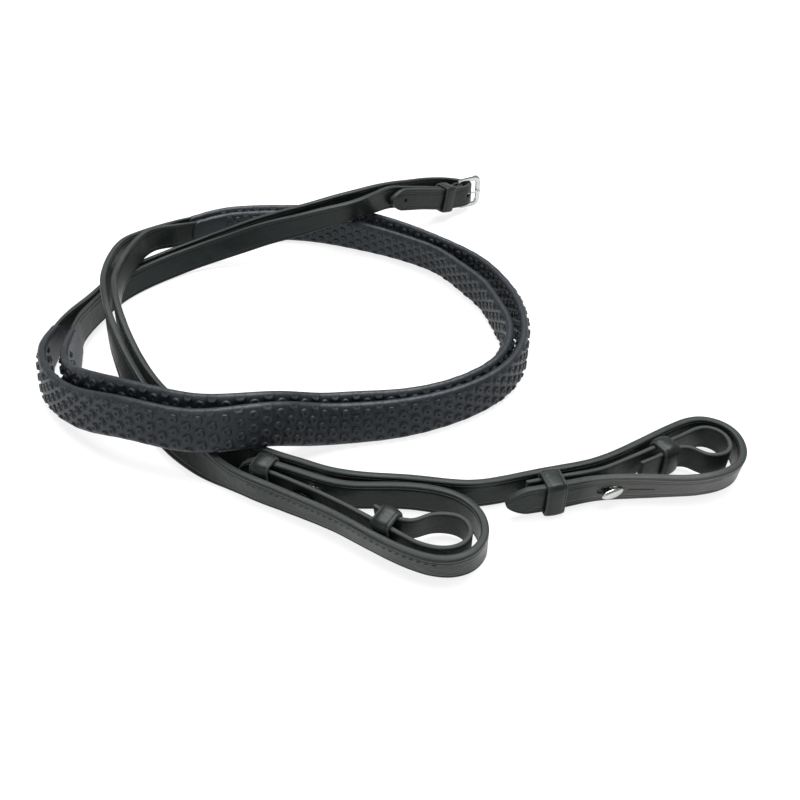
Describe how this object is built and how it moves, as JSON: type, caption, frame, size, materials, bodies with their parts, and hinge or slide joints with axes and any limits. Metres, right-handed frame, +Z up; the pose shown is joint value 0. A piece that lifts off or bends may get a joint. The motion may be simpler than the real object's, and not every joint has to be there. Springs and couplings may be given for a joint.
{
  "type": "horse reins",
  "caption": "Black leather riding reins with pimpled rubber hand grips, a centre buckle and hook-stud billets, loosely coiled on edge.",
  "frame": {"origin": "middle of the coiled reins' box, on the table", "axes": "+Z up, +Y away from the viewer towards the centre buckle, +X towards the right billet"},
  "size_m": [0.3887, 0.3889, 0.0432],
  "materials": {
    "black_leather": "satin, finely grained",
    "black_rubber": "matt, pimpled",
    "polished_steel": "polished stainless steel"
  },
  "bodies": {
    "root": {"buckle_rein_strap": "black_leather", "pointed_rein_strap": "black_leather", "right_billet_liner": "black_leather", "left_billet_liner": "black_leather", "right_fixed_keeper": "black_leather", "left_fixed_keeper": "black_leather", "buckle_keeper": "black_leather", "buckle_rein_rubber_grip": "black_rubber", "pointed_rein_rubber_grip": "black_rubber", "right_hook_stud": "polished_steel", "left_hook_stud": "polished_steel", "right_stud_washer": "polished_steel", "left_stud_washer": "polished_steel"},
    "buckle_frame": {"buckle_frame": "polished_steel"},
    "buckle_prong": {"buckle_prong": "polished_steel"},
    "right_running_keeper": {"right_running_keeper": "black_leather"},
    "left_running_keeper": {"left_running_keeper": "black_leather"}
  },
  "joints": [
    {"name": "buckle_frame_turn", "type": "hinge", "parent": "root", "child": "buckle_frame", "pos_m": [0.0645, 0.1836, 0.0142], "axis": [0, 0, 1], "range_deg": [-3, 3]},
    {"name": "buckle_prong_turn", "type": "hinge", "parent": "buckle_frame", "child": "buckle_prong", "pos_m": [0.0645, 0.1836, 0.0142], "axis": [0, 0, 1], "range_deg": [-5, 0]},
    {"name": "right_keeper_slide", "type": "slide", "parent": "root", "child": "right_running_keeper", "axis": [-0.8761, -0.4821, 0], "range_m": [0, 0.006]},
    {"name": "left_keeper_slide", "type": "slide", "parent": "root", "child": "left_running_keeper", "axis": [-0.8258, 0.5639, 0], "range_m": [0, 0.005]}
  ]
}
